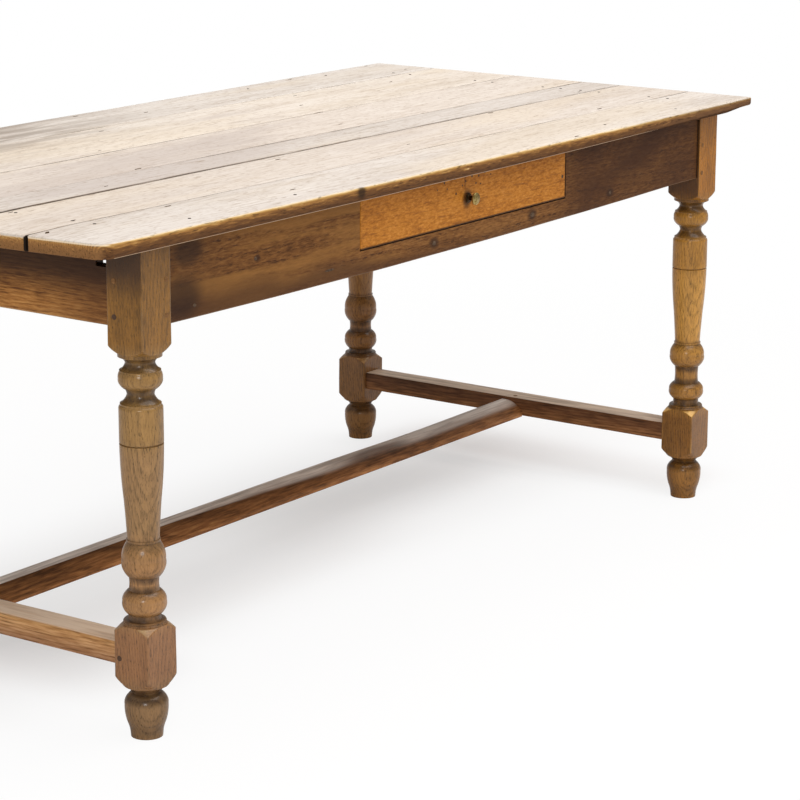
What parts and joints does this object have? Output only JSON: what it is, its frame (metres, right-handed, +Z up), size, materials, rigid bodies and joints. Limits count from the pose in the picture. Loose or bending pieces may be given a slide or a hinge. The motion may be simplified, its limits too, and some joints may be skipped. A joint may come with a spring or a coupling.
{
  "type": "farmhouse dining table",
  "caption": "Long oak farmhouse table with a plank top, turned legs, a low H stretcher and a drawer with a brass knob in its front apron.",
  "frame": {"origin": "on the floor under the middle of the top", "axes": "+X along the length, +Z up, the drawer opens towards -Y"},
  "size_m": [1.855, 0.874, 0.76],
  "materials": {
    "apron_oak": "dark waxed oak",
    "drawer_front_oak": "bright golden waxed oak",
    "inner_wood": "raw, unwaxed wood",
    "knob_brass": "worn cast brass",
    "leg_oak": "waxed turned oak, golden brown, darker in the coves",
    "nail_iron": "dark hand-made iron",
    "peg_oak": "dark end grain of drawn pegs",
    "stretcher_oak": "foot-worn oak, greyed on the upper faces",
    "top_oak": "scrubbed oak boards, pale and lightly waxed"
  },
  "bodies": {
    "frame": {"apron_back": "apron_oak", "apron_front": "apron_oak", "centre_pegs": "peg_oak", "drawer_guide_left": "inner_wood", "drawer_guide_right": "inner_wood", "drawer_runner_left": "inner_wood", "drawer_runner_right": "inner_wood", "drawer_stop_left": "inner_wood", "drawer_stop_right": "inner_wood", "end_rail_left": "apron_oak", "end_rail_right": "apron_oak", "guide_nails": "nail_iron", "leg_back_left": "leg_oak", "leg_back_right": "leg_oak", "leg_front_left": "leg_oak", "leg_front_right": "leg_oak", "rail_pegs": "peg_oak", "stretcher_centre": "stretcher_oak", "stretcher_left": "stretcher_oak", "stretcher_pegs": "peg_oak", "stretcher_right": "stretcher_oak", "top_board_1": "top_oak", "top_board_2": "top_oak", "top_board_3": "top_oak", "top_board_4": "top_oak", "top_board_5": "top_oak", "top_board_6": "top_oak", "top_nails": "nail_iron"},
    "drawer": {"drawer_back": "inner_wood", "drawer_bottom_front": "inner_wood", "drawer_bottom_middle": "inner_wood", "drawer_bottom_rear": "inner_wood", "drawer_front": "drawer_front_oak", "drawer_knob": "knob_brass", "drawer_knob_nut": "knob_brass", "drawer_nails": "nail_iron", "drawer_side_left": "inner_wood", "drawer_side_right": "inner_wood"}
  },
  "joints": [
    {"name": "drawer_slide", "type": "slide", "parent": "frame", "child": "drawer", "axis": [0, -1, 0], "range_m": [0, 0.38]}
  ]
}
